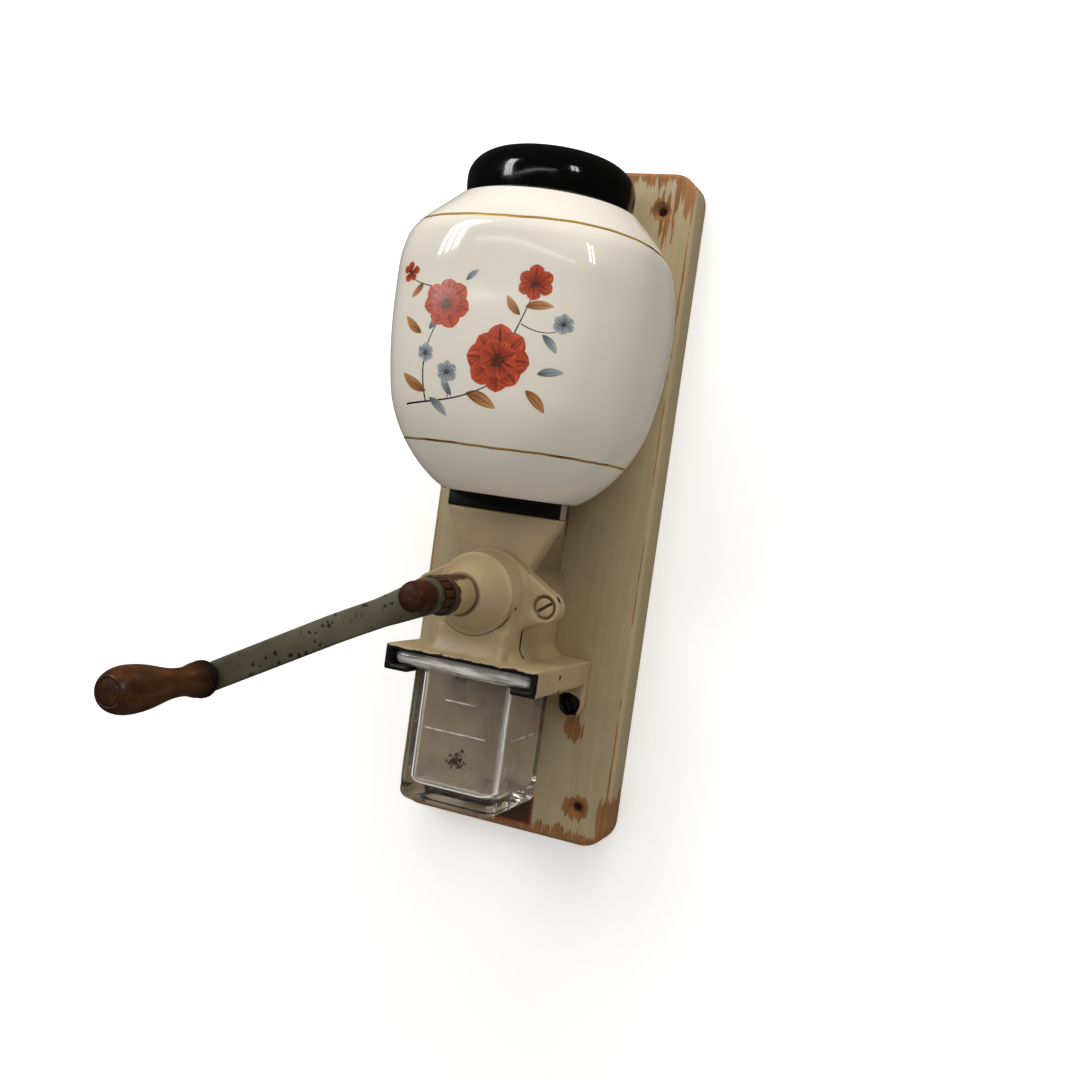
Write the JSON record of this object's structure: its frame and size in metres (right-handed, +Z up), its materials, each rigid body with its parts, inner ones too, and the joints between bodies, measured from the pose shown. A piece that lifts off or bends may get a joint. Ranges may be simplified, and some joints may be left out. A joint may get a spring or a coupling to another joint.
{
  "type": "manual coffee grinder",
  "caption": "Wall mounted hand crank coffee grinder: ceramic hopper with a lid, cast burr mill on a wooden backboard, crank with a turning grip, and a square glass that slides in below.",
  "frame": {"origin": "middle of the backboard's back face, where it meets the wall", "axes": "+Z up, +Y into the wall, -Y out to the user, +X to the user's right"},
  "size_m": [0.1841, 0.2151, 0.362],
  "materials": {
    "painted_board": "wooden board with old khaki paint, worn to bare wood at edges and screws",
    "painted_iron": "cast iron under old cream paint, satin",
    "dark_steel": "blackened steel, dull",
    "bare_steel": "plain turned steel",
    "black_rubber": "black rubber, smooth",
    "ivory_glaze": "ivory glaze, glossy, with two thin gold lines and a flower spray",
    "fibre_washer": "brown fibre, matte",
    "black_lid": "black moulded plastic, glossy",
    "bush_brass": "plain brass",
    "burr_iron": "hardened grey iron, machined",
    "rusty_steel": "steel under brown rust",
    "dull_steel": "dull grey steel with dark specks",
    "stained_wood": "turned wood with brown stain and old varnish",
    "clear_glass": "thick pressed glass, clear"
  },
  "bodies": {
    "mill": {"backboard": "painted_board", "rear_housing": "painted_iron", "front_housing": "painted_iron", "housing_screws": "painted_iron", "lug_screws": "dark_steel", "spine_bolts": "bare_steel", "hopper_gasket": "black_rubber", "hopper": "ivory_glaze", "hopper_washers": "fibre_washer", "hopper_screws": "bare_steel", "rear_bush": "bush_brass", "outer_burr": "burr_iron", "bearing_sleeve": "painted_iron"},
    "crank": {"drive_shaft": "bare_steel", "inner_burr": "burr_iron", "burr_pin": "bare_steel", "thrust_spring": "bare_steel", "crank_washer": "dark_steel", "crank_arm": "dull_steel", "crank_nut": "rusty_steel", "handle_spindle": "bare_steel"},
    "adjuster": {"adjusting_nut": "rusty_steel"},
    "grip": {"handle_ferrule": "dark_steel", "handle_grip": "stained_wood", "handle_plug": "stained_wood"},
    "lid": {"hopper_lid": "black_lid"},
    "glass": {"receiver_glass": "clear_glass"}
  },
  "joints": [
    {"name": "crank_turn", "type": "hinge", "parent": "mill", "child": "crank", "pos_m": [0, -0.1, -0.0495], "axis": [0, 1, 0], "continuous": true},
    {"name": "grind_setting", "type": "hinge", "parent": "crank", "child": "adjuster", "pos_m": [0, -0.1298, -0.0495], "axis": [0, 1, 0], "range_deg": [-180, 180]},
    {"name": "grip_spin", "type": "hinge", "parent": "crank", "child": "grip", "pos_m": [-0.10791, -0.18, -0.10748], "axis": [0, 1, 0], "continuous": true},
    {"name": "lid_lift", "type": "slide", "parent": "mill", "child": "lid", "axis": [0, 0, 1], "range_m": [0, 0.06]},
    {"name": "glass_slide", "type": "slide", "parent": "mill", "child": "glass", "axis": [0, -1, 0], "range_m": [0, 0.08]}
  ]
}
